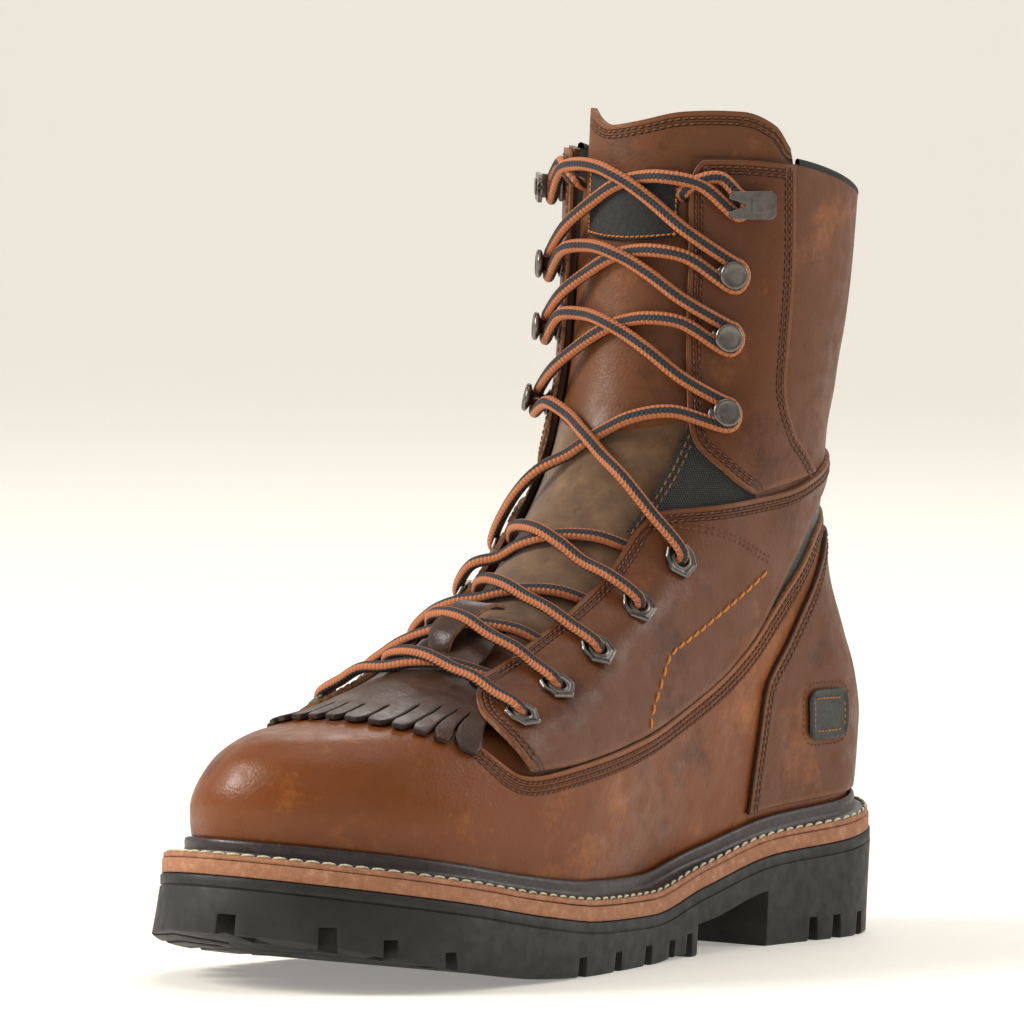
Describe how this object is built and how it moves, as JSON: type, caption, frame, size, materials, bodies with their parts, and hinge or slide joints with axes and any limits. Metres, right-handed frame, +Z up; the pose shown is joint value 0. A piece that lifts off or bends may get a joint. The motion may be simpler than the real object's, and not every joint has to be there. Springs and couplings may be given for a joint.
{
  "type": "work boot",
  "caption": "Left lace-up work boot with a hollow leather shaft, gusseted tongue, fringed kiltie, hexagonal eyelets, speed hooks and a welted lug sole.",
  "frame": {"origin": "on the floor, under the middle of the outsole's box", "axes": "+Y towards the heel, -Y towards the toe, +X towards the outer side of the left foot, +Z up"},
  "size_m": [0.1132, 0.3214, 0.2748],
  "materials": {
    "leather": "oiled full-grain leather with a pull-up finish, satin",
    "dark_leather": "dark oiled leather, satin",
    "tongue_leather": "nubuck and grain leather, matt",
    "welt": "dark storm welt, satin",
    "midsole": "tan midsole with a buffed edge, matt",
    "rubber": "black rubber, matt",
    "insole": "dark textile footbed, matt",
    "metal": "antiqued gunmetal, satin",
    "lace": "round braid in copper and black, matt",
    "label": "dark woven label, matt",
    "badge": "dark moulded badge, matt",
    "mesh": "dark ripstop mesh, matt",
    "lining": "dark textile lining, matt",
    "stitching": "waxed thread, satin"
  },
  "bodies": {
    "root": {"outsole": "rubber", "midsole": "midsole", "welt": "welt", "insole": "insole", "upper": "leather", "tongue": "tongue_leather", "kiltie": "dark_leather", "heel_counter": "leather", "backstay": "leather", "tongue_patch": "label", "heel_tab": "badge", "quarter_lateral": "leather", "shaft_panel_lateral": "leather", "eyelet_lateral_1": "metal", "eyelet_lateral_2": "metal", "eyelet_lateral_3": "metal", "eyelet_lateral_4": "metal", "eyelet_lateral_5": "metal", "hook_lateral_1": "metal", "hook_lateral_2": "metal", "hook_lateral_3": "metal", "cinch_hook_lateral": "metal", "quarter_medial": "leather", "shaft_panel_medial": "leather", "eyelet_medial_1": "metal", "eyelet_medial_2": "metal", "eyelet_medial_3": "metal", "eyelet_medial_4": "metal", "eyelet_medial_5": "metal", "hook_medial_1": "metal", "hook_medial_2": "metal", "hook_medial_3": "metal", "cinch_hook_medial": "metal", "lace_crossing_1": "lace", "lace_crossing_2": "lace", "lace_crossing_3": "lace", "lace_crossing_4": "lace", "lace_crossing_5": "lace", "lace_crossing_6": "lace", "lace_crossing_7": "lace", "lace_crossing_8": "lace"}
  },
  "joints": []
}
